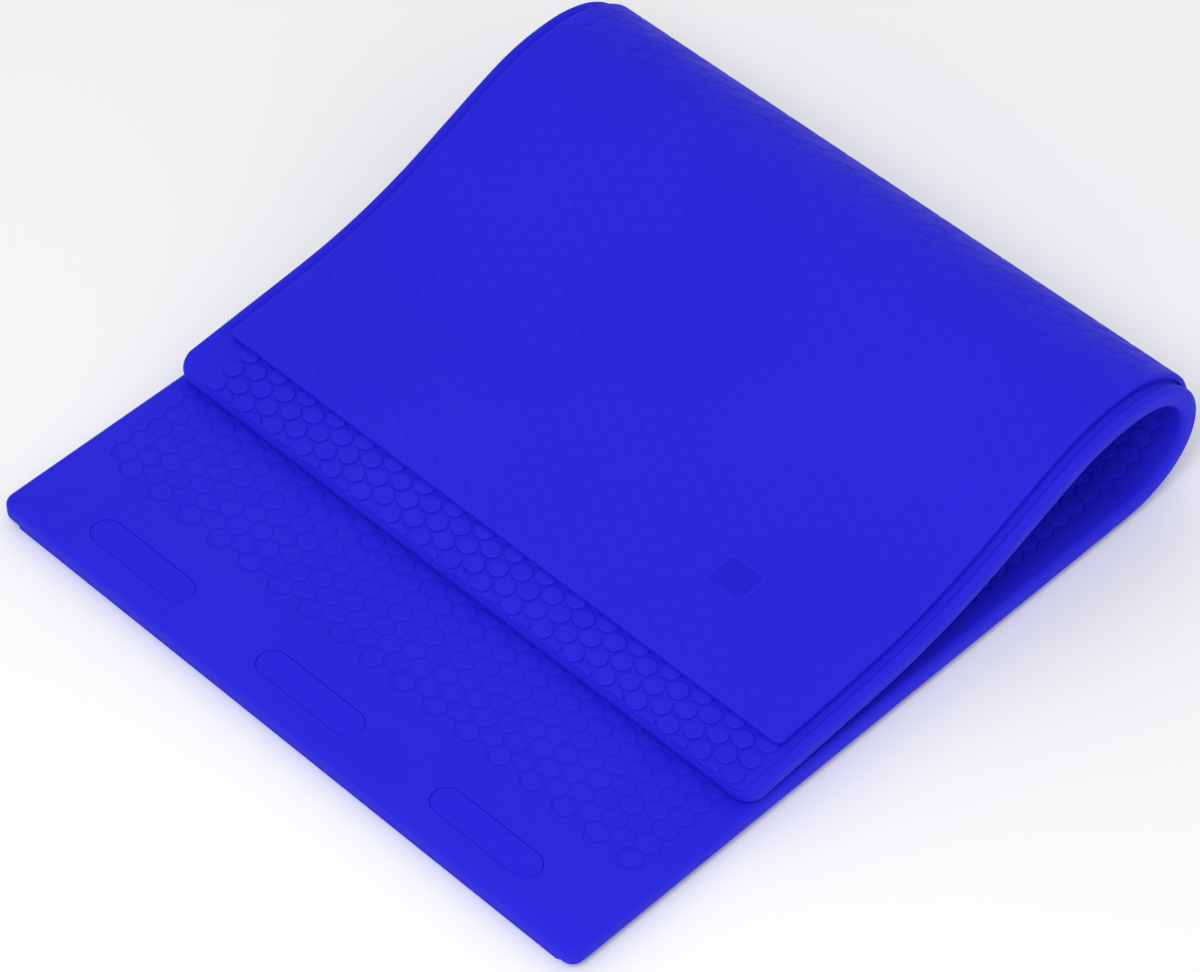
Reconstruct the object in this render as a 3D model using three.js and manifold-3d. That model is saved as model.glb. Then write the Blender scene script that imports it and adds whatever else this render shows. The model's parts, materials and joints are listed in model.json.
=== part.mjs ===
// Folding gymnastics mat, shown folded over on itself so that it makes a low wedge.
//
// One long flexible mat lies flat on the floor, turns back over itself in a soft loop and comes
// down again in a shallow S-curve, so that its far end rests on its near end. It is two layers
// thick: a full-width core sheet, and a narrower tread pad bonded to what is the underside when
// the mat lies on the floor and the top of the upper run when it is folded.
//
// The flexible mat is built as a chain of short rigid lengths, each with its own slice of core and
// pad. The hinge lines between them lie at the middle of the core's thickness. Turning every hinge
// back to zero lays the mat out flat.
//
// Millimetres, +Z up. X runs across the width, Y from the near edge towards the fold.

import * as THREE from 'three';
import { mergeVertices } from 'three/addons/utils/BufferGeometryUtils.js';
import Module from 'manifold-3d';

// ---- driving dimensions -------------------------------------------------------------------------

const WIDTH = 610;             // 24 in across
const LENGTH = 1219;           // 48 in laid out flat, along the middle of the core
const CORE = 17;               // thickness of the full-width core sheet
const PAD = 5;                 // how far the tread pad stands off the core
const BOND_GAP = 0.3;          // between two pieces that are bonded face to face
const RIM = 14;                // width of core left bare beside the pad, each side
const BARE_END = 47;           // core left bare past the pad, at the free end of the upper run
const PAD_SETBACK = 1.5;       // pad stops this far short of the near edge

const LOWER_RUN = 610;         // from the near edge to the first hinge line
const NOSE_TURNS = 12;         // hinge lines round the loop
const NOSE_TURN = 16.94;       // degrees turned at each of them
const TIGHTEST = 3;            // which length of the loop is the shortest, counted from 0
const SHORTEST = 13.5;         // its length
const LOWER_OPENING = 18.5;    // degrees per length: how fast the loop opens out below the nose
const UPPER_OPENING = 10.6;    // and above it
const EASE_SPANS = [122, 50, 48];  // lengths of the upper run, each ended by a reverse bend
const EASE_TURN = 6;           // degrees turned back at each reverse bend
const HINGE_GAP = 0.4;         // clearance between neighbouring lengths

const FASTENER_LENGTH = 106;   // hook-and-loop patches let into the top of the near edge
const FASTENER_WIDTH = 26;
const FASTENER_SPACING = 183;
const FASTENER_INSET = 35;     // from the near edge to their centre line
const FASTENER_POCKET = 2;     // depth of the pocket
const FASTENER_DEPTH = 1.2;    // thickness of the patch in it
const FASTENER_GAP = 0.4;

const BADGE_ACROSS = 165;      // blank badge let into the pad: distance from the centre line
const BADGE_FROM_END = 135;    // and from the free end of the upper run
const BADGE_WIDTH = 30;
const BADGE_HEIGHT = 26;
const BADGE_POCKET = 1.6;
const BADGE_DEPTH = 1;

// ---- materials ----------------------------------------------------------------------------------

const BLUE = new THREE.Color().setRGB(46 / 255, 43 / 255, 217 / 255, THREE.SRGBColorSpace);

function vinyl(roughness, shade) {
  return new THREE.MeshStandardMaterial({
    color: BLUE.clone().multiplyScalar(shade),
    roughness,
    metalness: 0,
  });
}

const coreSkin = vinyl(0.55, 1);
const padSkin = vinyl(0.5, 1.04);
const fastenerPile = vinyl(0.95, 0.9);
const badgeSkin = vinyl(0.6, 0.8);

// ---- the chain ----------------------------------------------------------------------------------
// A link lies between two hinge lines. "heading" is the direction it runs in, in degrees up from
// +Y; "turnIn" and "turnOut" are the turns at its two hinge lines, positive towards the inside of
// the fold and zero at the mat's free ends.

function noseLength(i) {
  const step = i - TIGHTEST;
  const opening = step < 0 ? -step * LOWER_OPENING : step * UPPER_OPENING;
  return SHORTEST / Math.cos(THREE.MathUtils.degToRad(opening));
}

function makeLinks() {
  const loop = Array.from({ length: NOSE_TURNS - 1 }, (_, i) => noseLength(i));
  const lengths = [LOWER_RUN, ...loop, ...EASE_SPANS];
  const free = LENGTH - lengths.reduce((sum, length) => sum + length, 0);
  lengths.push(free);
  const turns = [
    ...Array(NOSE_TURNS).fill(NOSE_TURN),
    ...EASE_SPANS.map(() => -EASE_TURN),
    0,
  ];
  const links = [];
  const at = new THREE.Vector2(0, PAD + CORE / 2);
  let heading = 0;
  let turnIn = 0;
  lengths.forEach((length, i) => {
    links.push({ length, heading, turnIn, turnOut: turns[i], start: at.clone() });
    const along = THREE.MathUtils.degToRad(heading);
    at.add(new THREE.Vector2(Math.cos(along), Math.sin(along)).multiplyScalar(length));
    heading += turns[i];
    turnIn = turns[i];
  });
  return links;
}

// ---- shapes -------------------------------------------------------------------------------------

// How far a cut face stands back from its hinge line at height v above the middle of the core. The
// face is mitred on the side that closes up when folded, and square on the side that opens.
function setback(v, turn) {
  if (turn === 0) return 0;
  const closing = turn > 0 ? Math.max(v, 0) : Math.max(-v, 0);
  const mitre = closing * Math.tan(THREE.MathUtils.degToRad(Math.abs(turn) / 2));
  return HINGE_GAP / 2 + mitre;
}

// The side view of one layer of a link, from height low to height high, with the ends drawn in by
// trimIn and trimOut where the layer stops short.
function layerOutline(link, low, high, trimIn = 0, trimOut = 0) {
  const heights = low < 0 && high > 0 ? [low, 0, high] : [low, high];
  const outline = new THREE.Shape();
  outline.moveTo(trimIn + setback(low, link.turnIn), low);
  for (const v of heights) outline.lineTo(link.length - trimOut - setback(v, link.turnOut), v);
  for (const v of heights.slice().reverse()) outline.lineTo(trimIn + setback(v, link.turnIn), v);
  return outline;
}

// Extrudes a side view across the mat, centred on X = 0: drawn along X and Y, turned to Y and Z.
function acrossMat(outline, width) {
  const solid = new THREE.ExtrudeGeometry(outline, { depth: width, bevelEnabled: false });
  solid.translate(0, 0, -width / 2);
  const turn = new THREE.Matrix4().makeBasis(
    new THREE.Vector3(0, 1, 0),
    new THREE.Vector3(0, 0, 1),
    new THREE.Vector3(1, 0, 0),
  );
  return solid.applyMatrix4(turn);
}

// A flat plate with round ends, lying in X and Y, from z = 0 up.
function stadiumPlate(length, width, height) {
  const half = length / 2 - width / 2;
  const outline = new THREE.Shape();
  outline.absarc(half, 0, width / 2, -Math.PI / 2, Math.PI / 2);
  outline.absarc(-half, 0, width / 2, Math.PI / 2, Math.PI * 1.5);
  const options = { depth: height, bevelEnabled: false, curveSegments: 8 };
  return new THREE.ExtrudeGeometry(outline, options);
}

// ---- joining and cutting ------------------------------------------------------------------------

const manifold = await Module();
manifold.setup();

function toManifold(geometry) {
  const bare = geometry.clone();
  bare.deleteAttribute('normal');
  bare.deleteAttribute('uv');
  const merged = mergeVertices(bare, 1e-4);
  return new manifold.Manifold(new manifold.Mesh({
    numProp: 3,
    vertProperties: new Float32Array(merged.attributes.position.array),
    triVerts: new Uint32Array(merged.index.array),
  }));
}

function cut(body, tools) {
  let solid = toManifold(body);
  for (const tool of tools) solid = solid.subtract(toManifold(tool));
  const mesh = solid.getMesh();
  const geometry = new THREE.BufferGeometry();
  geometry.setAttribute('position', new THREE.BufferAttribute(mesh.vertProperties, 3));
  geometry.setIndex(new THREE.BufferAttribute(mesh.triVerts, 1));
  geometry.computeVertexNormals();
  return geometry;
}

// ---- sub-parts ----------------------------------------------------------------------------------
// Every sub-part is drawn in its link's own frame: Y along the link from its first hinge line, Z
// from the middle of the core towards the inside of the fold.

function coreSlice(link) {
  return acrossMat(layerOutline(link, -CORE / 2, CORE / 2), WIDTH);
}

function padSlice(link, trimIn, trimOut) {
  const outline = layerOutline(link, -CORE / 2 - PAD, -CORE / 2 - BOND_GAP, trimIn, trimOut);
  return acrossMat(outline, WIDTH - 2 * RIM);
}

function fastenerPlaces() {
  return [-1, 0, 1].map((i) => new THREE.Vector3(i * FASTENER_SPACING, FASTENER_INSET, 0));
}

function fastenerPocket(place) {
  const plate = stadiumPlate(FASTENER_LENGTH, FASTENER_WIDTH, FASTENER_POCKET + 1);
  return plate.translate(place.x, place.y, CORE / 2 - FASTENER_POCKET);
}

function fastenerPatch(place) {
  const length = FASTENER_LENGTH - 2 * FASTENER_GAP;
  const width = FASTENER_WIDTH - 2 * FASTENER_GAP;
  const plate = stadiumPlate(length, width, FASTENER_DEPTH);
  return plate.translate(place.x, place.y, CORE / 2 - FASTENER_POCKET + BOND_GAP);
}

function badgePlate(link, margin, depth, bottom) {
  const plate = new THREE.BoxGeometry(BADGE_WIDTH - margin, BADGE_HEIGHT - margin, depth);
  return plate.translate(BADGE_ACROSS, link.length - BADGE_FROM_END, bottom + depth / 2);
}

function badgePocket(link) {
  return badgePlate(link, 0, BADGE_POCKET + 1, -CORE / 2 - PAD - 1);
}

function blankBadge(link) {
  const floor = -CORE / 2 - PAD + BADGE_POCKET;
  return badgePlate(link, 2 * FASTENER_GAP, BADGE_DEPTH, floor - BOND_GAP - BADGE_DEPTH);
}

// ---- assembly -----------------------------------------------------------------------------------

const mat = new THREE.Group();
const links = makeLinks();
const last = links.length - 1;

function linkName(i) {
  if (i === 0) return 'lower_run';
  if (i < NOSE_TURNS) return `fold_${String(i).padStart(2, '0')}`;
  if (i < last) return `upper_run_${i - NOSE_TURNS + 1}`;
  return 'free_end';
}

function addMesh(parent, name, geometry, material) {
  const mesh = new THREE.Mesh(geometry, material);
  mesh.name = name;
  parent.add(mesh);
}

links.forEach((link, i) => {
  const frame = new THREE.Group();
  frame.position.set(0, link.start.x, link.start.y);
  frame.rotation.x = THREE.MathUtils.degToRad(link.heading);
  mat.add(frame);

  const name = linkName(i);
  let core = coreSlice(link);
  if (i === 0) core = cut(core, fastenerPlaces().map(fastenerPocket));
  addMesh(frame, `core_${name}`, core, coreSkin);

  let pad = padSlice(link, i === 0 ? PAD_SETBACK : 0, i === last ? BARE_END : 0);
  if (i === last) pad = cut(pad, [badgePocket(link)]);
  addMesh(frame, `pad_${name}`, pad, padSkin);

  if (i === 0) {
    fastenerPlaces().forEach((place, k) => {
      addMesh(frame, `fastener_patch_${k + 1}`, fastenerPatch(place), fastenerPile);
    });
  }
  if (i === last) addMesh(frame, 'blank_badge', blankBadge(link), badgeSkin);
});

// The origin is on the floor under the middle of the folded mat.
mat.updateMatrixWorld(true);
const box = new THREE.Box3().setFromObject(mat, true);
mat.position.set(0, -(box.min.y + box.max.y) / 2, -box.min.z);
mat.updateMatrixWorld(true);

export default mat;
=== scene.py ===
import json
import math

import bmesh
import bpy
import numpy as np
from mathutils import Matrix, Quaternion, Vector
from mathutils.geometry import tessellate_polygon

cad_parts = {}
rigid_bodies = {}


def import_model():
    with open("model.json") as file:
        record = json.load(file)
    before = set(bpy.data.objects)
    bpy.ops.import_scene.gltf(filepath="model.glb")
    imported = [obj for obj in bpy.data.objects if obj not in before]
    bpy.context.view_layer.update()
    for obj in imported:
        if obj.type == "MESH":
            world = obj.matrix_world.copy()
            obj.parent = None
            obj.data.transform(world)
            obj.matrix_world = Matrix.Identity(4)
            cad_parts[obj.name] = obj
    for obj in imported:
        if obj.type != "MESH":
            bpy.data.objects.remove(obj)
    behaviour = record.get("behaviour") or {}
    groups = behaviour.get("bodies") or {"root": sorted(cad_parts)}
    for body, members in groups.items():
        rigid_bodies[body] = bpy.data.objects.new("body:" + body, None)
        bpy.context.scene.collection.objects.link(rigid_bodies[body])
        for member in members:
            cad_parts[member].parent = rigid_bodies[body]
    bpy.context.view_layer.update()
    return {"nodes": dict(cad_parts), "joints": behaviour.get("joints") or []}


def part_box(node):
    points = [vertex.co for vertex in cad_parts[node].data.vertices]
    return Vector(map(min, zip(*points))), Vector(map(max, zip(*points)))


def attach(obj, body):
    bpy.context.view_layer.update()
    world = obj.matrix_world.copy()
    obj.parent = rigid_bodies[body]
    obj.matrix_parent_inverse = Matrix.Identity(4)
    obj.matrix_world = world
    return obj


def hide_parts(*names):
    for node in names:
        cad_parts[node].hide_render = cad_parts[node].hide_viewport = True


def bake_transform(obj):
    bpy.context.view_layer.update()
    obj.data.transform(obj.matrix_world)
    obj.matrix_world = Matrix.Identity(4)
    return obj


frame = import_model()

# A folded gymnastics mat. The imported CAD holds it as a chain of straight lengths; this script
# lays one smooth skin of core and one of tread pad along the same hinge lines. Both skins are
# drawn flat, in three flat coordinates, and then bent onto the folded middle line:
#   x  across the mat, zero at its middle
#   s  along the mat, from the near edge to the free end
#   v  height above the middle of the core, positive towards the inside of the fold
# Lengths are metres.

MM = 0.001

# ---- sizes read from the CAD --------------------------------------------------------------------

HALF_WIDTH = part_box("core_lower_run")[1].x
HALF_CORE = (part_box("core_lower_run")[1].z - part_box("core_lower_run")[0].z) / 2
MIDDLE_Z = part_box("core_lower_run")[0].z + HALF_CORE
NEAR_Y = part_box("core_lower_run")[0].y
PAD_HALF_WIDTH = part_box("pad_lower_run")[1].x
PAD_OUTER = -MIDDLE_Z
PAD_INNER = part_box("pad_lower_run")[1].z - MIDDLE_Z
PAD_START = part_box("pad_lower_run")[0].y - NEAR_Y

# ---- sizes of the moulded detail ----------------------------------------------------------------

BARE_END = 47 * MM             # core left bare past the pad, at the free end
NEAR_CORNER = 10.5 * MM        # corner radii in plan
FREE_CORNER = 17 * MM
PAD_CORNER = 6 * MM

INNER_STEP = 16.55 * MM        # spacing of the hexagons across the mat, on the core's inner face
INNER_PITCH = 17.6 * MM        # and along it
INNER_START = 90.5 * MM        # from the near edge to the middle of the first hexagons
INNER_ROWS = 62
OUTER_STEP = 16.1 * MM         # the same on the pad and on the bare strip at the free end
OUTER_PITCH = 18.0 * MM
PAD_FIELD_START = 24 * MM
PAD_ROWS = 63
STRIP_FROM_END = 54.3 * MM     # from the free end back to the middle of the strip's first hexagons
STRIP_ROWS = 4

GROOVE = 2.0 * MM              # width of the grooves between hexagons
STRIP_GROOVE = 2.3 * MM        # and on the bare strip at the free end
INNER_RELIEF = 0.9 * MM        # height of the hexagons on the core's inner face
STRIP_RELIEF = 1.9 * MM        # and on the bare strip at the free end
PAD_RELIEF = 0.4 * MM          # and on the pad
SHORT_EDGE = 2.2 * MM          # a cut hexagon has no edge shorter than this
LEAST_STRIP_CELL = 0.12        # share of a whole hexagon that a cut one keeps at least
LEAST_PAD_CELL = 0.3
INNER_SOFTNESS = 1.2 * MM      # length taken off each corner of a hexagon
STRIP_SOFTNESS = 1.8 * MM
INNER_BEVEL = 0.8 * MM         # width of a hexagon's rounded edge
STRIP_BEVEL = 0.7 * MM
PAD_BEVEL = 0.9 * MM
INNER_DOME = 0.1 * MM          # how far a hexagon's crown bulges
STRIP_DOME = 0.25 * MM
PAD_DOME = 0.05 * MM
FOOT_SINK = 0.1 * MM           # a hexagon's foot lies this far under the groove's floor

POCKET_LENGTH = 106 * MM       # recesses near the near edge
POCKET_WIDTH = 26 * MM
POCKET_SPACING = 183 * MM
POCKET_INSET = 35 * MM
POCKET_DEPTH = 2 * MM

BADGE_ACROSS = 165 * MM
BADGE_FROM_END = 135 * MM
BADGE_WIDTH = 30 * MM
BADGE_HEIGHT = 26 * MM
BADGE_FRAME = 5 * MM

TINY = 1e-9                    # less than this apart is the same place
WALL_FOOT = GROOVE / 2 * 1.15  # the foot of the wall beside a field, out from its hexagons
WALL_TOP = 0.9 * MM            # how far the wall leans
WALL_LOW = 0.3 * MM            # where it turns
WALL_SAG = 0.15                # and the share of its depth that it has come down by then
SHARP_ANGLE = math.radians(38) # edges that turn more than this shade as sharp
CORNER_STEPS = 9               # stations round each corner of a layer

FINE_STEP = 5 * MM             # longest step along the mat where it bends
SEAM_STEP = 0.5 * MM           # step beside a seam, so that both sides shade alike
LOWER_ARM = 25 * MM            # how much of the lower run bends with the first hinge
FREE_ARM = 60 * MM             # how much of the free end bends with the last hinge


# ---- the folded middle line ---------------------------------------------------------------------

def hinge_points():
    return [Vector((j["pos_m"][1], j["pos_m"][2])) for j in frame["joints"]]


def hinge_turns():
    return [math.radians(sum(j["range_deg"])) for j in frame["joints"]]


HINGES = hinge_points()
TURNS = hinge_turns()
HEADINGS = [0.0] + list(np.cumsum(TURNS))


def direction(heading):
    return Vector((math.cos(heading), math.sin(heading)))


def free_length():
    """Length of the last link, measured on its CAD core."""
    along = direction(HEADINGS[-1])
    points = [v.co for v in frame["nodes"]["core_free_end"].data.vertices]
    return max((Vector((p.y, p.z)) - HINGES[-1]).dot(along) for p in points)


def hinge_places():
    """Distance along the mat of each hinge line."""
    places = [HINGES[0].x - NEAR_Y]
    for a, b in zip(HINGES, HINGES[1:]):
        places.append(places[-1] + (b - a).length)
    return places


PLACES = hinge_places()
LENGTH = PLACES[-1] + free_length()
PAD_END = LENGTH - BARE_END


def seam_places():
    """Where one piece of skin ends and the next begins: halfway along each link."""
    middles = [(a + b) / 2 for a, b in zip(PLACES, PLACES[1:])]
    return [PLACES[0] - LOWER_ARM, *middles, PLACES[-1] + FREE_ARM]


SEAMS = seam_places()


def seam_bends():
    """How sharply the middle line bends at each seam, without sign; zero where it is straight."""
    rates = [abs(t) / (b - a) for t, a, b in zip(TURNS, SEAMS, SEAMS[1:])]
    bends = [0.0]
    for i in range(1, len(rates)):
        same_way = TURNS[i - 1] * TURNS[i] > 0
        bends.append((rates[i - 1] + rates[i]) / 2 if same_way else 0.0)
    return bends + [0.0]


LEAST_HANDLE = 0.02            # shortest handle tried, as a share of the way to the hinge
HANDLE_TRIES = 400             # places looked at between it and the hinge
HALVINGS = 50                  # and halvings of the step that holds an answer


def handle_lengths(before, after, turn, bend_in, bend_out):
    """Handles of a cubic that turns by turn between two tangents that meet after before and
    after, and bends by bend_in and bend_out at its ends."""
    reach = 2 * math.sin(abs(turn)) / 3

    def out_handle(p):
        return after - bend_in * p * p / reach

    def miss(p):
        return before - bend_out * out_handle(p) ** 2 / reach - p

    tries = np.linspace(LEAST_HANDLE * before, before, HANDLE_TRIES)
    found = []
    for lo, hi in zip(tries, tries[1:]):
        if miss(lo) * miss(hi) > 0 or out_handle(hi) <= 0:
            continue
        for _ in range(HALVINGS):
            mid = (lo + hi) / 2
            lo, hi = (mid, hi) if miss(lo) * miss(mid) > 0 else (lo, mid)
        found.append((lo + hi) / 2)
    usual = before * 2 / 3
    p = min(found, key=lambda x: abs(x - usual)) if found else usual
    return p, (out_handle(p) if found else after * 2 / 3)


def bend_samples(i, bends, count=41):
    """Points along the bend at hinge i: rows of place, y, z, heading."""
    before, after = PLACES[i] - SEAMS[i], SEAMS[i + 1] - PLACES[i]
    t_in, t_out = direction(HEADINGS[i]), direction(HEADINGS[i + 1])
    p, r = handle_lengths(before, after, TURNS[i], bends[i], bends[i + 1])
    start, end = HINGES[i] - t_in * before, HINGES[i] + t_out * after
    a, b, c, d = (np.array(q) for q in (start, start + t_in * p, end - t_out * r, end))
    u = np.linspace(0, 1, count)[:, None]
    at = (1 - u) ** 3 * a + 3 * (1 - u) ** 2 * u * b + 3 * (1 - u) * u ** 2 * c + u ** 3 * d
    rate = (1 - u) ** 2 * (b - a) + 2 * (1 - u) * u * (c - b) + u ** 2 * (d - c)
    heading = np.unwrap(np.arctan2(rate[:, 1], rate[:, 0]))
    heading += HEADINGS[i] - heading[0]
    run = np.concatenate([[0], np.cumsum(np.linalg.norm(np.diff(at, axis=0), axis=1))])
    place = SEAMS[i] + (before + after) * run / run[-1]
    return np.column_stack([place, at, heading])


def middle_line():
    bends = seam_bends()
    rows = [np.array([[0, NEAR_Y, MIDDLE_Z, 0]])]
    rows += [bend_samples(i, bends) for i in range(len(HINGES))]
    end = HINGES[-1] + direction(HEADINGS[-1]) * (LENGTH - PLACES[-1])
    rows.append(np.array([[LENGTH, end.x, end.y, HEADINGS[-1]]]))
    return np.concatenate(rows)


MIDDLE = middle_line()


def fold(flat):
    """Flat coordinates to places in the row frame."""
    flat = np.asarray(flat, float)
    y, z, h = (np.interp(flat[:, 1], MIDDLE[:, 0], MIDDLE[:, k]) for k in (1, 2, 3))
    v = flat[:, 2]
    return np.column_stack([flat[:, 0], y - np.sin(h) * v, z + np.cos(h) * v])


# ---- meshes in flat coordinates -----------------------------------------------------------------

class Flat:
    """Points and faces in flat coordinates."""

    def __init__(self):
        self.points = []
        self.faces = []

    def add(self, points, faces):
        first = len(self.points)
        self.points.extend(points)
        self.faces.extend([tuple(first + i for i in face) for face in faces])

    def grid(self, rows):
        """Four-sided faces between rows of equal length. Faces point along step-in-row times
        step-between-rows."""
        wide = len(rows[0])
        faces = [
            (i * wide + j, i * wide + j + 1, (i + 1) * wide + j + 1, (i + 1) * wide + j)
            for i in range(len(rows) - 1)
            for j in range(wide - 1)
        ]
        self.add([p for row in rows for p in row], faces)

    def plate(self, outline, holes=(), up=True):
        """A filled outline of (x, s, v) points, with holes, facing up or down v."""
        loops = [[Vector(p) for p in loop] for loop in (outline, *holes)]
        points = [tuple(p) for loop in loops for p in loop]
        faces = []
        for tri in tessellate_polygon([[Vector((p.x, p.y, 0)) for p in loop] for loop in loops]):
            a, b, c = (Vector(points[i]).to_2d() for i in tri)
            turning = (b - a).cross(c - a)
            faces.append(tri if (turning > 0) == up else tuple(reversed(tri)))
        self.add(points, faces)


def oval(centre_in, centre_v, reach_in, reach_v, start, stop, count):
    """Part of an ellipse in a side profile, as (distance in from the edge, v) pairs. Angles are
    in degrees from straight up, turning towards the edge."""
    angles = np.radians(np.linspace(start, stop, count))
    return [(centre_in - reach_in * math.sin(a), centre_v + reach_v * math.cos(a)) for a in angles]


# Each edge profile runs from the inner face, round the edge, to the outer face.
TOP = HALF_CORE
FLANGE = -HALF_CORE + STRIP_RELIEF

SIDE_PROFILE = [
    *oval(5 * MM, TOP - 5.5 * MM, 5 * MM, 5.5 * MM, 0, 90, 8),
    *oval(3.6 * MM, -TOP + 5.0 * MM, 3.6 * MM, 5.0 * MM, 90, 180, 7),
    (6.2 * MM, -TOP + 0.25 * MM),
    (7.6 * MM, -TOP + 0.9 * MM),
    (8.6 * MM, FLANGE),
    (10 * MM, FLANGE),
]
NEAR_PROFILE = [
    *oval(5.5 * MM, TOP - 5.5 * MM, 5.5 * MM, 5.5 * MM, 0, 90, 8),
    *oval(3.5 * MM, -TOP + 3.5 * MM, 3.5 * MM, 3.5 * MM, 90, 180, 7),
    (5 * MM, -TOP),
    (6 * MM, -TOP),
    (7 * MM, -TOP),
    (9 * MM, -TOP),
]
FREE_PROFILE = [
    *oval(5 * MM, TOP - 5 * MM, 5 * MM, 5 * MM, 0, 90, 8),
    (0.0 * MM, 1.5 * MM),
    (0.5 * MM, -0.4 * MM),
    (1.7 * MM, -1.7 * MM),
    (3.0 * MM, -2.4 * MM),
    (3.1 * MM, -3.1 * MM),
    (1.4 * MM, -3.9 * MM),
    (1.0 * MM, -5.6 * MM),
    (1.6 * MM, FLANGE + 0.2 * MM),
    (2.6 * MM, FLANGE),
    (5 * MM, FLANGE),
    (10 * MM, FLANGE),
]
PAD_PROFILE = [
    (3 * MM, PAD_INNER),
    (0.4 * MM, PAD_INNER),
    (0.0 * MM, PAD_INNER - 0.5 * MM),
    *oval(2 * MM, PAD_OUTER + 2 * MM, 2 * MM, 2 * MM, 90, 180, 6),
    (3.5 * MM, PAD_OUTER),
    (4.5 * MM, PAD_OUTER),
]


def mix_profiles(a, b, share):
    return [tuple(p + (q - p) * share for p, q in zip(m, n)) for m, n in zip(a, b)]


class Rim:
    """The edge of a layer: a profile carried round a rectangle with round corners, running
    against the clock when seen from the inside of the fold."""

    def __init__(self, half, start, end, near_corner, free_corner, near, side, free, lines):
        straight = [s for s in lines if start + near_corner < s < end - free_corner]
        near_middle, free_middle = start + near_corner, end - free_corner
        self.stations = []
        self.corner(half - near_corner, near_middle, near_corner, -90, 0, near, side)
        self.stations += [((half, s), (1, 0), side) for s in straight]
        self.corner(half - free_corner, free_middle, free_corner, 0, 90, side, free)
        self.corner(free_corner - half, free_middle, free_corner, 90, 180, free, side)
        self.stations += [((-half, s), (-1, 0), side) for s in reversed(straight)]
        self.corner(near_corner - half, near_middle, near_corner, 180, 270, side, near)

    def corner(self, middle_x, middle_s, radius, first, last, before, after):
        """A quarter turn about a corner's middle, from one direction to the next in degrees."""
        for k in range(CORNER_STEPS):
            share = k / (CORNER_STEPS - 1)
            angle = math.radians(first + (last - first) * share)
            out = (math.cos(angle), math.sin(angle))
            at = (middle_x + radius * out[0], middle_s + radius * out[1])
            self.stations.append((at, out, mix_profiles(before, after, share)))

    def rows(self):
        """One row of points for each station, from the inner face to the outer."""
        made = []
        for at, out, profile in self.stations:
            made.append([(at[0] - out[0] * d, at[1] - out[1] * d, v) for d, v in profile])
        return made + [made[0]]

    def loop(self, column):
        """The points that one column of the profile makes round the layer."""
        return [row[column] for row in self.rows()[:-1]]


# ---- hexagon fields -----------------------------------------------------------------------------

class Field:
    """Columns of hexagons with flats facing along the mat. Every other column is shifted by half
    a pitch."""

    def __init__(self, step, pitch, first_column, last_column, start, rows):
        self.step, self.pitch = step, pitch
        self.point = step / 1.5
        self.first, self.last = first_column, last_column
        self.start, self.rows = start, rows

    def x(self, k):
        return (k + 0.5) * self.step

    def s(self, k, i):
        return self.start + (i + (k % 2) / 2) * self.pitch

    def cells(self):
        return [
            (self.x(k), self.s(k, i))
            for k in range(self.first, self.last + 1)
            for i in range(self.rows)
        ]

    def hexagon(self):
        a, b, h = self.point, self.point / 2, self.pitch / 2
        return [(a, 0), (b, h), (-b, h), (-a, 0), (-b, -h), (b, -h)]

    def side(self, k, s):
        """How far out the field reaches at s, in its outermost column k."""
        turns = (s - self.flat_side(k, False)) / self.pitch
        if turns < 0 or turns > self.rows:
            return abs(self.x(k)) + self.point / 2
        tooth = 1 - abs(2 * (turns % 1) - 1)
        return abs(self.x(k)) + self.point / 2 * (1 + tooth)

    def flat_side(self, k, far):
        """Where column k starts or ends along the mat."""
        return self.s(k, self.rows - 1) + self.pitch / 2 if far else self.s(k, 0) - self.pitch / 2

    def side_lines(self):
        """Places where the saw-tooth sides turn, from the field's near end to its far end."""
        half = self.pitch / 2
        return [self.start + (i - 1) * half for i in range(2 * self.rows + 2)]

    def end_line(self, far):
        """The saw-tooth outline of the field's near or far end, from left to right."""
        points = []
        for k in range(self.first, self.last + 1):
            at = self.flat_side(k, far)
            points += [(self.x(k) - self.point / 2, at), (self.x(k) + self.point / 2, at)]
        return points


def inset(poly, by):
    """A convex outline moved in by a distance."""
    lines = []
    for i, p in enumerate(poly):
        q = poly[(i + 1) % len(poly)]
        dx, dy = q[0] - p[0], q[1] - p[1]
        size = math.hypot(dx, dy)
        n = (-dy / size, dx / size)
        lines.append((n, n[0] * p[0] + n[1] * p[1] + by))
    moved = []
    for i, (n, c) in enumerate(lines):
        m, e = lines[i - 1]
        det = m[0] * n[1] - m[1] * n[0]
        moved.append(((e * n[1] - m[1] * c) / det, (m[0] * c - e * n[0]) / det))
    return moved


def area(poly):
    return sum(p[0] * q[1] - p[1] * q[0] for p, q in zip(poly, poly[1:] + poly[:1])) / 2


def clip(poly, axis, limit, keep_above):
    """The part of a convex outline on one side of a line across x (axis 0) or s (axis 1)."""
    sign = 1 if keep_above else -1
    kept = []
    for i, p in enumerate(poly):
        q = poly[(i + 1) % len(poly)]
        a, b = sign * (p[axis] - limit), sign * (q[axis] - limit)
        if a >= 0:
            kept.append(p)
        if a * b < 0:
            t = a / (a - b)
            kept.append((p[0] + (q[0] - p[0]) * t, p[1] + (q[1] - p[1]) * t))
    return kept


def join_close(poly, least):
    """Merges neighbouring corners of an outline that lie closer than least."""
    kept = []
    for p in poly:
        if kept and math.dist(p, kept[-1]) < least:
            kept[-1] = ((p[0] + kept[-1][0]) / 2, (p[1] + kept[-1][1]) / 2)
        else:
            kept.append(p)
    if len(kept) > 1 and math.dist(kept[0], kept[-1]) < least:
        kept.pop()
    return kept


MOST_CUT = 0.4                 # share of an edge that softening a corner takes at most


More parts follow.
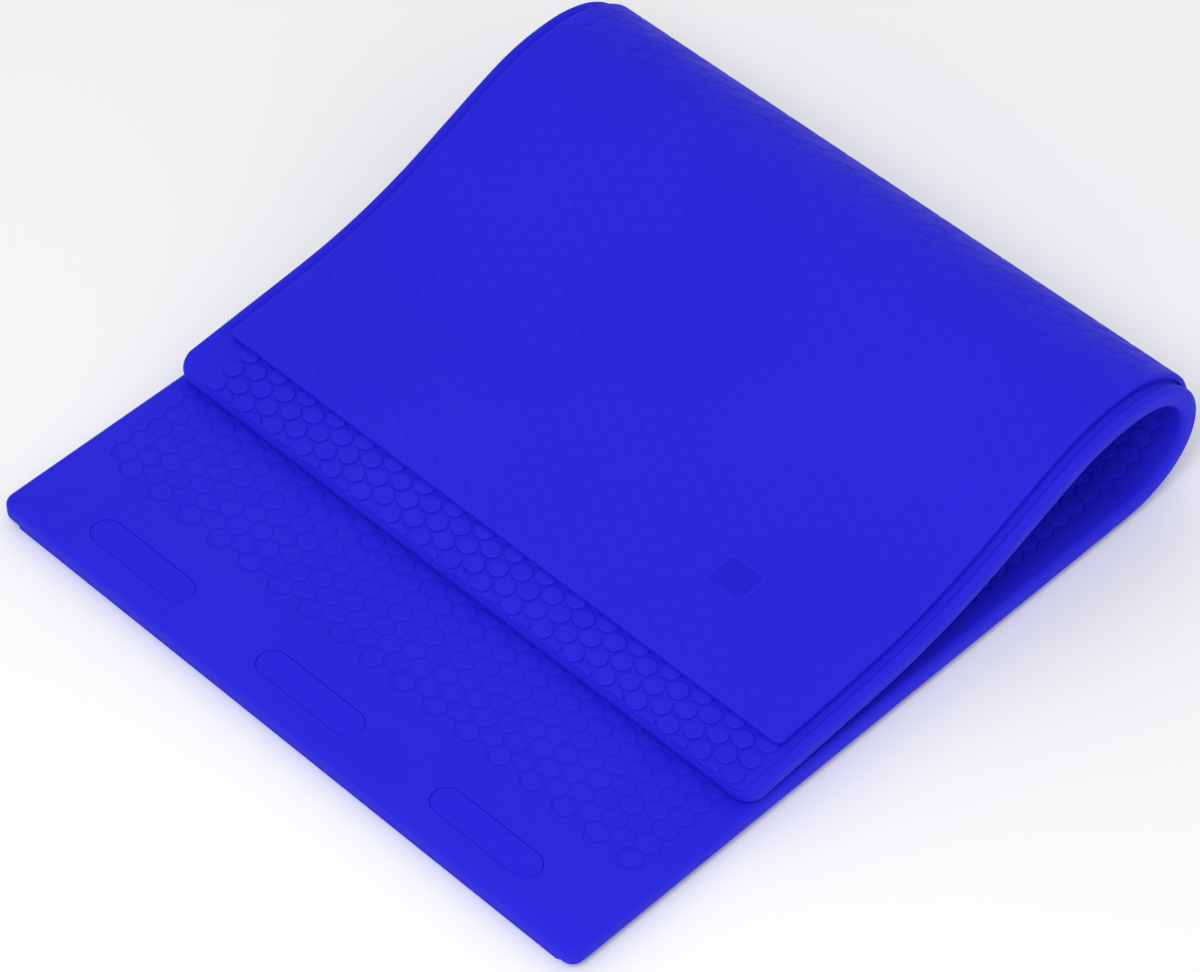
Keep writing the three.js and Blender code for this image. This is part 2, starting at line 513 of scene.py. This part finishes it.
def soften(poly, cut):
    """Each corner cut off, so that a tile has softer corners."""
    made = []
    for i, p in enumerate(poly):
        for q in (poly[i - 1], poly[(i + 1) % len(poly)]):
            size = math.hypot(q[0] - p[0], q[1] - p[1])
            share = min(cut / size, MOST_CUT)
            made.append((p[0] + (q[0] - p[0]) * share, p[1] + (q[1] - p[1]) * share))
    return made


ROOM_ACROSS = 1.7              # area over outline, times this, is as far as a crown is set in
ROOM_ALONG = 1.6               # and so is the shortest edge, divided by this


def tile(poly, rings, up, cut=0.0):
    """A low pillow on a convex outline. rings are (inset, v) from its foot to its crown."""
    edges = [math.dist(p, q) for p, q in zip(poly, poly[1:] + poly[:1])]
    room = min(ROOM_ACROSS * area(poly) / sum(edges), min(edges) / ROOM_ALONG)
    shrink = min(room / rings[-1][0], 1)
    loops = []
    for by, v in rings:
        loop = inset(poly, min(by, rings[0][0] + (by - rings[0][0]) * shrink))
        loops.append([(p[0], p[1], v) for p in (soften(loop, cut) if cut else loop)])
    n = len(loops[0])
    points = [p for loop in loops for p in loop]
    centre = np.mean(loops[-1], axis=0)
    points.append((centre[0], centre[1], rings[-1][1]))
    faces = []
    for r in range(len(loops) - 1):
        for i in range(n):
            j = (i + 1) % n
            faces.append((r * n + i, r * n + j, (r + 1) * n + j, (r + 1) * n + i))
    last = (len(loops) - 1) * n
    faces += [(last + i, last + (i + 1) % n, len(points) - 1) for i in range(n)]
    if not up:
        faces = [tuple(reversed(f)) for f in faces]
    return points, faces


def add_tiles(flat, cells, template):
    points, faces = template
    for x, s in cells:
        flat.add([(p[0] + x, p[1] + s, p[2]) for p in points], faces)


# A tile's flank and shoulder: shares of its bevel, from the foot in, and of its relief, from the
# crown down. The crown itself starts CROWN_IN bevels in.
FLANK_IN, FLANK_DOWN = 0.25, 0.35
SHOULDER_DOWN = 0.08
CROWN_IN = 3.2


def pillow(level, relief, up, bevel, dome, groove=GROOVE):
    """Rings of a tile whose crown stands at level and whose foot is sunk below the floor."""
    down = -1 if up else 1
    half = groove / 2
    return [
        (half, level + down * (relief + FOOT_SINK)),
        (half + FLANK_IN * bevel, level + down * relief * FLANK_DOWN),
        (half + bevel, level + down * relief * SHOULDER_DOWN + down * dome / 2),
        (half + CROWN_IN * bevel, level),
    ]


# ---- stepping along the mat ---------------------------------------------------------------------

def seam_lines():
    return [s + d for s in SEAMS for d in (-SEAM_STEP, 0, SEAM_STEP)]


def lines_along(start, end, extra):
    """Places to step along the mat: the extra ones, the seams, and fine steps where it bends."""
    wanted = sorted({round(s, 7) for s in (start, end, *extra, *seam_lines()) if start <= s <= end})
    made = [wanted[0]]
    for a, b in zip(wanted, wanted[1:]):
        bends = b > SEAMS[0] and a < SEAMS[-1]
        parts = max(1, math.ceil((b - a) / FINE_STEP)) if bends else 1
        made += [a + (b - a) * k / parts for k in range(1, parts + 1)]
    return made


def from_left(points):
    """The same loop, started from the left side's point that is farthest along the mat."""
    start = max(range(len(points)), key=lambda i: points[i][1] if points[i][0] < 0 else -1)
    return points[start:] + points[:start]


def stadium(x, s, length, width, grow, v, count=9):
    """A loop with round ends, lying across the mat."""
    radius = width / 2 + grow
    half = (length - width) / 2
    angles = np.linspace(-math.pi / 2, math.pi / 2, count)
    right = [(x + half + radius * math.cos(a), s + radius * math.sin(a), v) for a in angles]
    left = [(x - half - radius * math.cos(a), s - radius * math.sin(a), v) for a in angles]
    return right + left


# ---- the core's skin ----------------------------------------------------------------------------

INNER = Field(INNER_STEP, INNER_PITCH, -17, 16, INNER_START, INNER_ROWS)
INNER_FLOOR = TOP - INNER_RELIEF
STRIP = Field(OUTER_STEP, OUTER_PITCH, -17, 17, LENGTH - STRIP_FROM_END, STRIP_ROWS)
STRIP_CUT = LENGTH - 1.8 * MM  # the free end's edge cuts off the hexagons here
UNDER_PAD = 12 * MM            # how far the strip's floor runs on under the pad
FLANGE_UNDER_PAD = 1.5 * MM    # and how far the flange beside the pad does
PAST_CORNER = 2 * MM           # the plates at the mat's ends reach this far past its corners
LEDGE = 1 * MM                 # length of the slopes between the outer face's levels


def field_face(flat, field, lines, edge, level, floor, up):
    """The face of a layer along a hexagon field: smooth borders, the groove's walls, the floor."""
    sag = level + (floor - level) * WALL_SAG
    for k, sign in ((field.first, -1), (field.last, 1)):
        rows = []
        for s in lines:
            if field.flat_side(k, False) - TINY <= s <= field.flat_side(k, True) + TINY:
                foot = field.side(k, s) + WALL_FOOT
                steps = [(edge, level), (foot + WALL_TOP, level), (foot + WALL_LOW, sag), (foot, floor)]
                rows.append([(sign * x, s, v) for x, v in steps])
        flat.grid(rows if (sign < 0) == up else [row[::-1] for row in rows])
    left, right = (abs(field.x(k)) + field.point + WALL_FOOT for k in (field.first, field.last))
    start, end = lines[0] - WALL_FOOT - WALL_TOP, lines[-1] + WALL_FOOT + WALL_TOP
    rows = [[(-left, s, floor), (right, s, floor)] for s in (start, *lines, end)]
    flat.grid(rows if up else [row[::-1] for row in rows])


def field_end(flat, field, far, loop, edge, level, floor, up, holes=()):
    """The smooth plate between a field's end and the rim's loop of points, with the saw-tooth
    wall down to the field's floor."""
    ends = []
    for k, sign in ((field.first, -1), (field.last, 1)):
        s = field.flat_side(k, far)
        inner = field.side(k, s) + WALL_FOOT + WALL_TOP
        ends.append([(sign * inner, s, level), (sign * edge, s, level)])
    away = 1 if far else -1
    limits = [end[0][1] for end in ends]
    beyond = [p for p in loop if away * (p[1] - limits[p[0] > 0]) > TINY]
    if far:
        border = [*ends[1], *beyond, *ends[0][::-1]]
    else:
        border = [*ends[0], *from_left(beyond), *ends[1][::-1]]

    teeth = field.end_line(far) if far else field.end_line(far)[::-1]
    steps = [(WALL_TOP, level), (WALL_LOW, level + (floor - level) * WALL_SAG), (0, floor)]
    rows = [[(x, s + away * (WALL_FOOT + d), v) for x, s in teeth] for d, v in steps]
    flat.plate(border + rows[0], holes, up)
    flat.grid(rows[::-1] if up else rows)


POCKET_LIP = 0.9 * MM          # radius of the rounded edge of a recess
POCKET_FILLET = 0.4 * MM       # and of the corner round its floor


def add_pockets(body):
    """Walls and floors of the three recesses, as rings of how far they outgrow the recess and
    their v. Returns the recesses' outlines on the inner face."""
    floor = TOP - POCKET_DEPTH
    rings = [
        (POCKET_LIP, TOP),
        (0.25 * MM, TOP - 0.25 * MM),
        (0, TOP - POCKET_LIP),
        (-0.1 * MM, floor + POCKET_FILLET),
        (-0.1 * MM - POCKET_FILLET, floor),
    ]
    holes = []
    for k in (-1, 0, 1):
        x = k * POCKET_SPACING
        loops = [stadium(x, POCKET_INSET, POCKET_LENGTH, POCKET_WIDTH, g, v) for g, v in rings]
        holes.append(loops[0])
        body.grid([loop + [loop[0]] for loop in reversed(loops)])
        body.plate(loops[-1])
    return holes


def core_flat():
    """The core's skin, without its hexagons, and its hexagons."""
    body, tiles = Flat(), Flat()
    side_steps = INNER.side_lines()
    lines = lines_along(0, LENGTH, side_steps)
    rim = Rim(HALF_WIDTH, 0, LENGTH, NEAR_CORNER, FREE_CORNER,
              NEAR_PROFILE, SIDE_PROFILE, FREE_PROFILE, lines)
    body.grid(rim.rows())

    edge = HALF_WIDTH - SIDE_PROFILE[0][0]
    inner_lines = [s for s in lines if side_steps[0] - TINY <= s <= side_steps[-1] + TINY]
    field_face(body, INNER, inner_lines, edge, TOP, INNER_FLOOR, True)
    loop = rim.loop(0)
    field_end(body, INNER, False, loop, edge, TOP, INNER_FLOOR, True, add_pockets(body))
    field_end(body, INNER, True, loop, edge, TOP, INNER_FLOOR, True)

    outer_face(body, rim.loop(-1), side_steps)

    rings = pillow(TOP, INNER_RELIEF, True, INNER_BEVEL, INNER_DOME)
    add_tiles(tiles, INNER.cells(), tile(INNER.hexagon(), rings, True, INNER_SOFTNESS))
    add_strip(tiles)
    return body, tiles


def outer_face(body, loop, side_steps):
    """The core's outer face: a flange beside the pad, flat under it, and the strip's floor."""
    edge = HALF_WIDTH - SIDE_PROFILE[-1][0]
    under = PAD_HALF_WIDTH - FLANGE_UNDER_PAD
    begin, end = NEAR_CORNER + PAST_CORNER, LENGTH - FREE_CORNER - PAST_CORNER
    strip_start = PAD_END - UNDER_PAD
    rows = []
    for s in lines_along(begin, end, [strip_start, strip_start + LEDGE, *side_steps]):
        middle = -TOP if s <= strip_start + TINY else FLANGE
        row = [(edge, FLANGE), (under, FLANGE), (under - LEDGE, middle)]
        row += [(-x, v) for x, v in reversed(row)]
        rows.append([(x, s, v) for x, v in row])
    body.grid(rows)
    low = [p for p in loop if p[1] < begin - TINY]
    body.plate([*from_left(low), *rows[0]], up=False)
    high = [p for p in loop if p[1] > end + TINY]
    body.plate([*high, *rows[-1][::-1]], up=False)


def add_strip(tiles):
    """Hexagons of the bare strip; the last ones are cut off by the free end's edge."""
    rings = pillow(-TOP, STRIP_RELIEF, False, STRIP_BEVEL, STRIP_DOME, STRIP_GROOVE)
    for x, s in STRIP.cells():
        poly = [(x + p[0], s + p[1]) for p in STRIP.hexagon()]
        poly = join_close(clip(poly, 1, STRIP_CUT + STRIP_GROOVE / 2, False), SHORT_EDGE)
        if len(poly) > 2 and area(poly) > LEAST_STRIP_CELL * STRIP.step * STRIP.pitch:
            tiles.add(*tile(poly, rings, False, STRIP_SOFTNESS))


# ---- the pad's skin -----------------------------------------------------------------------------

PAD_FIELD = Field(OUTER_STEP, OUTER_PITCH, -17, 16, PAD_FIELD_START, PAD_ROWS)
PAD_FLOOR = PAD_OUTER + PAD_RELIEF
BOND_INSET = 1 * MM            # the bonded face stops this far inside the pad's corners


def pad_flat():
    """The pad's skin, without its hexagons, and its hexagons with the badge's frame."""
    body, tiles = Flat(), Flat()
    side_steps = PAD_FIELD.side_lines()
    lines = lines_along(PAD_START, PAD_END, side_steps)
    rim = Rim(PAD_HALF_WIDTH, PAD_START, PAD_END, PAD_CORNER, PAD_CORNER,
              PAD_PROFILE, PAD_PROFILE, PAD_PROFILE, lines)
    body.grid(rim.rows())

    edge = PAD_HALF_WIDTH - PAD_PROFILE[-1][0]
    outer_lines = [s for s in lines if side_steps[0] - TINY <= s <= side_steps[-1] + TINY]
    field_face(body, PAD_FIELD, outer_lines, edge, PAD_OUTER, PAD_FLOOR, False)
    for far in (False, True):
        field_end(body, PAD_FIELD, far, rim.loop(-1), edge, PAD_OUTER, PAD_FLOOR, False)

    edge = PAD_HALF_WIDTH - PAD_PROFILE[0][0]
    begin, end = PAD_START + PAD_CORNER + BOND_INSET, PAD_END - PAD_CORNER - BOND_INSET
    bond = [[(-edge, s, PAD_INNER), (edge, s, PAD_INNER)] for s in lines_along(begin, end, [])]
    body.grid(bond)

    middle = (BADGE_ACROSS, LENGTH - BADGE_FROM_END)
    add_pad_tiles(tiles, middle)
    add_badge_frame(tiles, middle)
    return body, tiles


def add_pad_tiles(tiles, middle):
    """The pad's hexagons; those beside the badge's frame, round middle, are cut back to it."""
    frame_out = (BADGE_WIDTH / 2 + BADGE_FRAME, BADGE_HEIGHT / 2 + BADGE_FRAME)
    rings = pillow(PAD_OUTER, PAD_RELIEF, False, PAD_BEVEL, PAD_DOME)
    template = tile(PAD_FIELD.hexagon(), rings, False)
    whole = []
    for x, s in PAD_FIELD.cells():
        near_badge = (abs(x - middle[0]) < frame_out[0] + PAD_FIELD.point
                      and abs(s - middle[1]) < frame_out[1] + PAD_FIELD.pitch / 2)
        if not near_badge:
            whole.append((x, s))
            continue
        poly = [(x + p[0], s + p[1]) for p in PAD_FIELD.hexagon()]
        parts = [clip(poly, axis, middle[axis] + sign * (frame_out[axis] - GROOVE / 2), sign > 0)
                 for axis in (0, 1) for sign in (-1, 1)]
        parts = [join_close(part, SHORT_EDGE) for part in parts]
        best = max(parts, key=lambda p: area(p) if len(p) > 2 else 0)
        if len(best) > 2 and area(best) > LEAST_PAD_CELL * PAD_FIELD.step * PAD_FIELD.pitch:
            tiles.add(*tile(best, rings, False))
    add_tiles(tiles, whole, template)


def round_box(x, s, wide, high, radius, v, count=5):
    """A rectangle with round corners, against the clock."""
    points = []
    for k, (sx, sy) in enumerate(((1, -1), (1, 1), (-1, 1), (-1, -1))):
        for a in np.radians(np.linspace(-90, 0, count) + 90 * k):
            points.append((x + sx * (wide / 2 - radius) + radius * math.cos(a),
                           s + sy * (high / 2 - radius) + radius * math.sin(a), v))
    return points


def add_badge_frame(flat, middle):
    """The smooth raised border round the blank badge, from its outer foot to its inner one. A
    step is how much smaller the loop is, its corner radius and v."""
    x, s = middle
    wide, high = BADGE_WIDTH + 2 * BADGE_FRAME, BADGE_HEIGHT + 2 * BADGE_FRAME
    steps = [
        (0, 3.0 * MM, PAD_FLOOR + FOOT_SINK),
        (0.6 * MM, 2.6 * MM, PAD_OUTER + 0.05 * MM),
        (1.2 * MM, 2.4 * MM, PAD_OUTER),
        (2 * BADGE_FRAME - 1.0 * MM, 2.0 * MM, PAD_OUTER),
        (2 * BADGE_FRAME - 0.3 * MM, 1.8 * MM, PAD_OUTER + 0.05 * MM),
        (2 * BADGE_FRAME, 1.6 * MM, PAD_FLOOR + FOOT_SINK),
    ]
    loops = [round_box(x, s, wide - d, high - d, r, v) for d, r, v in steps]
    flat.grid([loop[::-1] + [loop[-1]] for loop in loops][::-1])


# ---- cutting at the seams and bending -----------------------------------------------------------

WELD = 2e-6                    # points closer than this become one
ON_SEAM = 1e-6                 # points closer than this to a seam lie on it
CUT_SNAP = 1e-7                # and a cut leaves those closer than this alone


def mesh_of(flat):
    bm = bmesh.new()
    verts = [bm.verts.new(p) for p in flat.points]
    for face in flat.faces:
        bm.faces.new([verts[i] for i in face])
    return bm


def cut_at_seams(bm):
    """Cuts faces along the seams, and just beside them."""
    for s in seam_lines():
        near = [f for f in bm.faces if min(v.co.y for v in f.verts) < s < max(v.co.y for v in f.verts)]
        geom = set(near)
        for f in near:
            geom.update(f.edges)
            geom.update(f.verts)
        bmesh.ops.bisect_plane(bm, geom=list(geom), dist=CUT_SNAP, plane_co=(0, s, 0), plane_no=(0, 1, 0))


def close_ends(bm, low, high):
    """Fills the cut ends of a piece."""
    for s in (low, high):
        rim = [e for e in bm.edges if e.is_boundary]
        edges = [e for e in rim if all(abs(v.co.y - s) < ON_SEAM for v in e.verts)]
        if edges:
            bmesh.ops.edgeloop_fill(bm, edges=edges)


def piece_mesh(name, bodies_of_faces, low, high):
    """One piece of skin between two seams, folded into place."""
    whole = bmesh.new()
    for source, capped in bodies_of_faces:
        part = source.copy()
        outside = [f for f in part.faces if not low < f.calc_center_median().y < high]
        bmesh.ops.delete(part, geom=outside, context="FACES")
        if capped:
            close_ends(part, low, high)
        held = bpy.data.meshes.new("part")
        part.to_mesh(held)
        part.free()
        whole.from_mesh(held)
        bpy.data.meshes.remove(held)
    mesh = bpy.data.meshes.new(name)
    whole.to_mesh(mesh)
    whole.free()
    flat = np.zeros(len(mesh.vertices) * 3)
    mesh.vertices.foreach_get("co", flat)
    flat = flat.reshape(-1, 3)
    place = mesh.attributes.new("flat_place", "FLOAT_VECTOR", "POINT")
    place.data.foreach_set("vector", flat.astype(np.float32).ravel())
    mesh.vertices.foreach_set("co", fold(flat).astype(np.float32).ravel())
    mesh.update()
    mesh.shade_smooth()
    mesh.set_sharp_from_angle(angle=SHARP_ANGLE)
    return mesh


def link_names():
    order = [frame["joints"][0]["parent"]]
    for joint in frame["joints"]:
        order.append(joint["child"])
    return order


LINKS = link_names()
CHORD_TRIM = 1.6 * MM          # keeps each seam's whole face on one side of the bend
LEAST_BEND = 0.1               # share of the chord that a bend takes up at least
BEND_TRIES = 20                # places tried for each end of a bend


def flat_ripple(i, start, end):
    """How far the middle line of piece i strays from straight when its bend is undone."""
    place = MIDDLE[:, 0]
    line = MIDDLE[(place >= SEAMS[i]) & (place <= SEAMS[i + 1]), 1:3]
    chord = end - start
    t = np.clip((line - start) @ chord / (chord @ chord), 0, 1)
    angle = HEADINGS[i] + TURNS[i] * t * t * (3 - 2 * t)
    arm = line - np.array(HINGES[i])
    return np.abs(arm[:, 1] * np.cos(angle) - arm[:, 0] * np.sin(angle)).max()


def bend_ends(i):
    """Start and end of the bend of piece i, on the chord between its seams: the pair that leaves
    the mat flattest when it is unfolded."""
    ends = fold([(0, SEAMS[i], 0), (0, SEAMS[i + 1], 0)])
    first, last = ends[0], ends[1]
    least = CHORD_TRIM / np.linalg.norm(last - first)
    shares = np.linspace(least, (1 - LEAST_BEND) / 2, BEND_TRIES)
    pairs = [(a, b) for a in shares for b in shares]

    def ripple(pair):
        points = (first + (last - first) * pair[0], last - (last - first) * pair[1])
        return flat_ripple(i, *(p[1:] for p in points))

    a, b = min(pairs, key=ripple)
    return Vector(first + (last - first) * a), Vector(last - (last - first) * b)


def lay_skin(layer, body, tiles, material, slot):
    """Splits one layer's skin into pieces: the two end pieces ride on their CAD bodies, and those between
    stay fixed in the folded shape.
    """
    base, relief = mesh_of(body), mesh_of(tiles)
    bmesh.ops.remove_doubles(base, verts=base.verts, dist=WELD)
    cut_at_seams(base)
    cut_at_seams(relief)
    bounds = [-math.inf, *SEAMS, math.inf]
    for i in range(len(bounds) - 1):
        name = f"{layer}_skin_{i:02d}"
        mesh = piece_mesh(name, [(base, True), (relief, False)], bounds[i], bounds[i + 1])
        obj = bpy.data.objects.new(name, mesh)
        bpy.context.scene.collection.objects.link(obj)
        mesh.materials.append(material)
        if i == 0 or i == len(bounds) - 2:
            link = LINKS[0] if i == 0 else LINKS[-1]
            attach(obj, link)
            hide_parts(f"{layer}_{link}")
        else:
            a, b = LINKS[i - 1], LINKS[i]
            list(bend_ends(i - 1))
            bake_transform(obj)
            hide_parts(f"{layer}_{a}", f"{layer}_{b}")
    base.free()
    relief.free()


# ---- materials ----------------------------------------------------------------------------------

class Nodes:
    """A short way to write a material's nodes."""

    def __init__(self, name):
        self.material = bpy.data.materials.new(name)
        self.material.use_nodes = True
        self.tree = self.material.node_tree
        self.shader = self.tree.nodes["Principled BSDF"]

    def add(self, kind, inputs=None, **values):
        node = self.tree.nodes.new(kind)
        for key, value in values.items():
            setattr(node, key, value)
        self.set(node, inputs or {})
        return node

    def set(self, node, inputs):
        for key, value in inputs.items():
            node.inputs[key].default_value = value

    def join(self, out, into):
        self.tree.links.new(out, into)


GRAIN_DEPTH = 0.15 * MM
SKIN_SPECULAR = 0.09
PILE_DEPTH = 0.4 * MM
PILE_PAINTED_SHADE = 0.85              # painted shade: how dark the hollows between the pile's loops are painted
PILE_SPECULAR = 0.1


def foam_skin(name, deep, bright, rough, grain):
    """Closed-cell foam with a moulded skin: slow colour drift, scuffs and a fine pebble grain."""
    n = Nodes(name)
    place = n.add("ShaderNodeAttribute", attribute_name="flat_place")

    drift = n.add("ShaderNodeTexNoise", {"Scale": 6, "Detail": 5})
    n.join(place.outputs["Vector"], drift.inputs["Vector"])
    tint = n.add("ShaderNodeMix", {"A": (*deep, 1), "B": (*bright, 1)}, data_type="RGBA")
    n.join(drift.outputs["Fac"], tint.inputs["Factor"])

    scuff = n.add("ShaderNodeTexNoise", {"Scale": 45, "Detail": 8, "Roughness": 0.65})
    n.join(place.outputs["Vector"], scuff.inputs["Vector"])
    haze = n.add("ShaderNodeMapRange", {"From Min": 0.35, "From Max": 0.7})
    n.set(haze, {"To Min": rough - 0.06, "To Max": rough + 0.1})
    n.join(scuff.outputs["Fac"], haze.inputs["Value"])

    pebble = n.add("ShaderNodeTexVoronoi", {"Scale": 900}, feature="SMOOTH_F1")
    n.join(place.outputs["Vector"], pebble.inputs["Vector"])
    dust = n.add("ShaderNodeTexNoise", {"Scale": 2200, "Detail": 3})
    n.join(place.outputs["Vector"], dust.inputs["Vector"])
    grain_mix = n.add("ShaderNodeMath", operation="ADD")
    n.join(pebble.outputs["Distance"], grain_mix.inputs[0])
    n.join(dust.outputs["Fac"], grain_mix.inputs[1])
    bump = n.add("ShaderNodeBump", {"Strength": grain, "Distance": GRAIN_DEPTH})
    n.join(grain_mix.outputs["Value"], bump.inputs["Height"])

    n.join(tint.outputs["Result"], n.shader.inputs["Base Color"])
    n.join(haze.outputs["Result"], n.shader.inputs["Roughness"])
    n.join(bump.outputs["Normal"], n.shader.inputs["Normal"])
    n.set(n.shader, {"Specular IOR Level": SKIN_SPECULAR})
    return n.material


def loop_pile(name, colour, rough):
    """Short loop pile of a fastener patch, with painted shade: its colour is darker in the hollows
    between the loops, where the bump's noise is low.
    """
    n = Nodes(name)
    place = n.add("ShaderNodeTexCoord")
    curl = n.add("ShaderNodeTexNoise", {"Scale": 700, "Detail": 6})
    n.join(place.outputs["Object"], curl.inputs["Vector"])
    # painted shade: the pile's colour, darkened for the hollows where the bump sinks
    painted_hollow_shade = [c * PILE_PAINTED_SHADE for c in colour]
    shade = n.add("ShaderNodeMix", {"A": (*painted_hollow_shade, 1), "B": (*colour, 1)}, data_type="RGBA")
    n.join(curl.outputs["Fac"], shade.inputs["Factor"])
    bump = n.add("ShaderNodeBump", {"Strength": 0.8, "Distance": PILE_DEPTH})
    n.join(curl.outputs["Fac"], bump.inputs["Height"])
    n.join(shade.outputs["Result"], n.shader.inputs["Base Color"])
    n.join(bump.outputs["Normal"], n.shader.inputs["Normal"])
    n.set(n.shader, {"Roughness": rough, "Specular IOR Level": PILE_SPECULAR})
    return n.material


# Blues, as linear red, green and blue. The foam drifts between a deep and a bright one.
MAT_DEEP = (0.0145, 0.0125, 0.635)
MAT_BRIGHT = (0.0225, 0.0195, 0.695)
BADGE_DEEP = (0.0125, 0.0105, 0.575)
BADGE_BRIGHT = (0.0155, 0.0135, 0.62)
PILE_BLUE = (0.022, 0.019, 0.74)

core_skin = foam_skin("core_skin", MAT_DEEP, MAT_BRIGHT, rough=0.56, grain=0.35)
pad_skin = foam_skin("pad_skin", MAT_DEEP, MAT_BRIGHT, rough=0.52, grain=0.25)
badge_skin = foam_skin("badge_skin", BADGE_DEEP, BADGE_BRIGHT, rough=0.6, grain=0.6)
pile = loop_pile("fastener_pile", PILE_BLUE, rough=0.95)

# ---- the two skins ------------------------------------------------------------------------------

lay_skin("core", *core_flat(), core_skin, "core_skin")
lay_skin("pad", *pad_flat(), pad_skin, "pad_skin")


# ---- fastener patches and badge -----------------------------------------------------------------

def small_piece(name, flat, material, body, node):
    """A piece that rides on one CAD body and stands for one CAD node."""
    bm = mesh_of(flat)
    bmesh.ops.remove_doubles(bm, verts=bm.verts, dist=WELD)
    mesh = piece_mesh(name, [(bm, False)], -math.inf, math.inf)
    bm.free()
    obj = bpy.data.objects.new(name, mesh)
    bpy.context.scene.collection.objects.link(obj)
    mesh.materials.append(material)
    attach(obj, body)
    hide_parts(node)


def stacked(loops, up):
    """A closed plate from loops that run against the clock, from its foot to its crown."""
    flat = Flat()
    rows = [loop + [loop[0]] for loop in loops]
    flat.grid(rows[::-1] if up else [row[::-1] for row in rows[::-1]])
    flat.plate(loops[-1], up=up)
    flat.plate(loops[0], up=not up)
    return flat


def patch_flat(k):
    """A pile patch with a slightly raised, fuzzy edge. A step is how much it outgrows its
    recess and its height over the recess's floor, in millimetres."""
    floor = TOP - POCKET_DEPTH
    steps = [(-0.4, 0.05), (-0.4, 0.7), (-0.6, 1.05), (-1.2, 1.2), (-3.0, 1.15)]
    x = k * POCKET_SPACING
    loops = [stadium(x, POCKET_INSET, POCKET_LENGTH, POCKET_WIDTH, g * MM, floor + h * MM, 13)
             for g, h in steps]
    return stacked(loops, True)


for number, k in enumerate((-1, 0, 1), 1):
    small_piece(f"pile_patch_{number}", patch_flat(k), pile, LINKS[0],
                f"fastener_patch_{number}")


def badge_flat():
    """The blank plate of the badge. A step is how much smaller than its place it is, its corner
    radius and its v over the pad's groove floor, in millimetres."""
    steps = [(0.8, 1.6, 0.1), (0.8, 1.6, -0.1), (1.2, 1.4, -0.2), (4.0, 1.0, -0.22)]
    loops = [round_box(BADGE_ACROSS, LENGTH - BADGE_FROM_END, BADGE_WIDTH - d * MM,
                       BADGE_HEIGHT - d * MM, r * MM, PAD_FLOOR + h * MM) for d, r, h in steps]
    return stacked(loops, False)


small_piece("badge_plate", badge_flat(), badge_skin, LINKS[-1], "blank_badge")

# ---- camera, light and floor --------------------------------------------------------------------

CAMERA_AIM = Vector((36.9, -39.4, 68.3)) * MM
CAMERA_DISTANCE = 3.65
CAMERA_AZIMUTH = math.radians(44.4)
CAMERA_ELEVATION = math.radians(47.86)
CAMERA_ROLL = math.radians(0.27)
CAMERA_LENS = 147.07
CAMERA_SENSOR = 36

SKY_STRENGTH = 0.74
KEY_AT = (0.9, -1.7, 2.6)
KEY_AIM = (0, 0, 0)
KEY_POWER = 36
FILL_AT = (2.4, -1.0, 0.9)
FILL_AIM = (0, 0, 0.05)
FILL_POWER = 3
LAMP_SIZE = 1.6
FLOOR_SHADE = (0.94, 0.94, 0.945)
FLOOR_ROUGH = 0.9
FLOOR_HALF = 4
FLOOR_DROP = 0.2 * MM          # how far under the mat the floor lies


def make_camera():
    back = Vector((
        math.sin(CAMERA_AZIMUTH) * math.cos(CAMERA_ELEVATION),
        -math.cos(CAMERA_AZIMUTH) * math.cos(CAMERA_ELEVATION),
        math.sin(CAMERA_ELEVATION),
    ))
    data = bpy.data.cameras.new("camera")
    data.lens = CAMERA_LENS
    data.sensor_width = CAMERA_SENSOR
    camera = bpy.data.objects.new("camera", data)
    camera.rotation_mode = "QUATERNION"
    camera.location = CAMERA_AIM + back * CAMERA_DISTANCE
    turn = Quaternion((0, 0, 1), CAMERA_ROLL)
    camera.rotation_quaternion = (-back).to_track_quat("-Z", "Y") @ turn
    bpy.context.scene.collection.objects.link(camera)
    bpy.context.scene.camera = camera


def area_light(name, at, aim, power):
    data = bpy.data.lights.new(name, "AREA")
    data.shape = "DISK"
    data.size = LAMP_SIZE
    data.energy = power
    lamp = bpy.data.objects.new(name, data)
    lamp.location = at
    lamp.rotation_mode = "QUATERNION"
    lamp.rotation_quaternion = (Vector(aim) - Vector(at)).to_track_quat("-Z", "Y")
    bpy.context.scene.collection.objects.link(lamp)


def make_floor():
    n = Nodes("floor")
    n.set(n.shader, {"Base Color": (*FLOOR_SHADE, 1), "Roughness": FLOOR_ROUGH})
    mesh = bpy.data.meshes.new("floor")
    corners = [(sx * FLOOR_HALF, sy * FLOOR_HALF, 0) for sx, sy in ((-1, -1), (1, -1), (1, 1), (-1, 1))]
    mesh.from_pydata(corners, [], [(0, 1, 2, 3)])
    mesh.materials.append(n.material)
    floor = bpy.data.objects.new("floor", mesh)
    floor.location.z = -FLOOR_DROP
    bpy.context.scene.collection.objects.link(floor)


def make_light():
    world = bpy.data.worlds.new("studio")
    world.use_nodes = True
    sky = world.node_tree.nodes["Background"]
    sky.inputs["Color"].default_value = (1, 1, 1, 1)
    sky.inputs["Strength"].default_value = SKY_STRENGTH
    bpy.context.scene.world = world
    area_light("key", KEY_AT, KEY_AIM, KEY_POWER)
    area_light("fill", FILL_AT, FILL_AIM, FILL_POWER)


make_camera()
make_floor()
make_light()
bpy.context.scene.view_settings.view_transform = "Standard"
